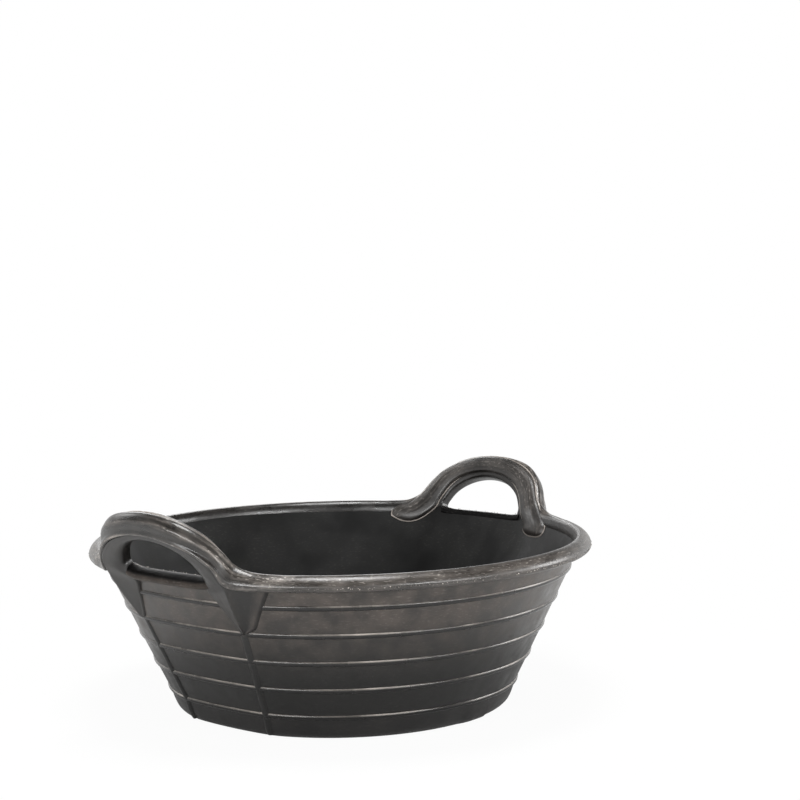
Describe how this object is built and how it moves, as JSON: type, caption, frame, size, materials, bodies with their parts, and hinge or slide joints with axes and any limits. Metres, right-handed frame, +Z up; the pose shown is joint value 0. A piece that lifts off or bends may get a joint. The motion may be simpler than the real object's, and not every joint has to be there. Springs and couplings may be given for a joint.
{
  "type": "rubber feed tub",
  "caption": "Shallow round rubber feed tub with a flared ribbed wall, a rolled rim and flexing loop handles at its ends.",
  "frame": {"origin": "middle of the underside, on the ground", "axes": "+Z up, +X through the right handle, -X through the left handle"},
  "size_m": [0.4292, 0.3998, 0.1756],
  "materials": {
    "wall_rubber": "moulded black rubber, satin, with faint streaks",
    "floor_rubber": "moulded black rubber, matt",
    "rim_rubber": "moulded black rubber, rubbed shiny, speckled along its parting line",
    "grip_rubber": "moulded black rubber, glossy from handling, with long flow lines"
  },
  "bodies": {
    "tub": {"floor_disc": "floor_rubber", "base_band": "floor_rubber", "wall_front": "wall_rubber", "wall_back": "wall_rubber", "wall_left_end": "wall_rubber", "wall_right_end": "wall_rubber", "seam_strip_front_left": "wall_rubber", "seam_strip_back_left": "wall_rubber", "seam_strip_front_right": "wall_rubber", "seam_strip_back_right": "wall_rubber", "rim_front": "rim_rubber", "rim_back": "rim_rubber", "sill_left": "rim_rubber", "sill_right": "rim_rubber", "foot_front_left": "grip_rubber", "foot_back_left": "grip_rubber", "foot_front_right": "grip_rubber", "foot_back_right": "grip_rubber", "gusset_front_left": "wall_rubber", "gusset_back_left": "wall_rubber", "gusset_front_right": "wall_rubber", "gusset_back_right": "wall_rubber", "tongue_front_left": "grip_rubber", "tongue_back_left": "grip_rubber", "tongue_front_right": "grip_rubber", "tongue_back_right": "grip_rubber"},
    "left_handle": {"left_grip_roll": "grip_rubber", "left_grip_strap": "grip_rubber", "left_hole_band": "grip_rubber", "left_necks": "grip_rubber"},
    "right_handle": {"right_grip_roll": "grip_rubber", "right_grip_strap": "grip_rubber", "right_hole_band": "grip_rubber", "right_necks": "grip_rubber"}
  },
  "joints": [
    {"name": "left_handle_flex", "type": "hinge", "parent": "tub", "child": "left_handle", "pos_m": [-0.18971, 0, 0.1348], "axis": [0, 1, 0], "range_deg": [-25, 40], "stiffness_Nm_per_rad": 5},
    {"name": "right_handle_flex", "type": "hinge", "parent": "tub", "child": "right_handle", "pos_m": [0.18971, 0, 0.1348], "axis": [0, -1, 0], "range_deg": [-25, 40], "stiffness_Nm_per_rad": 5}
  ]
}
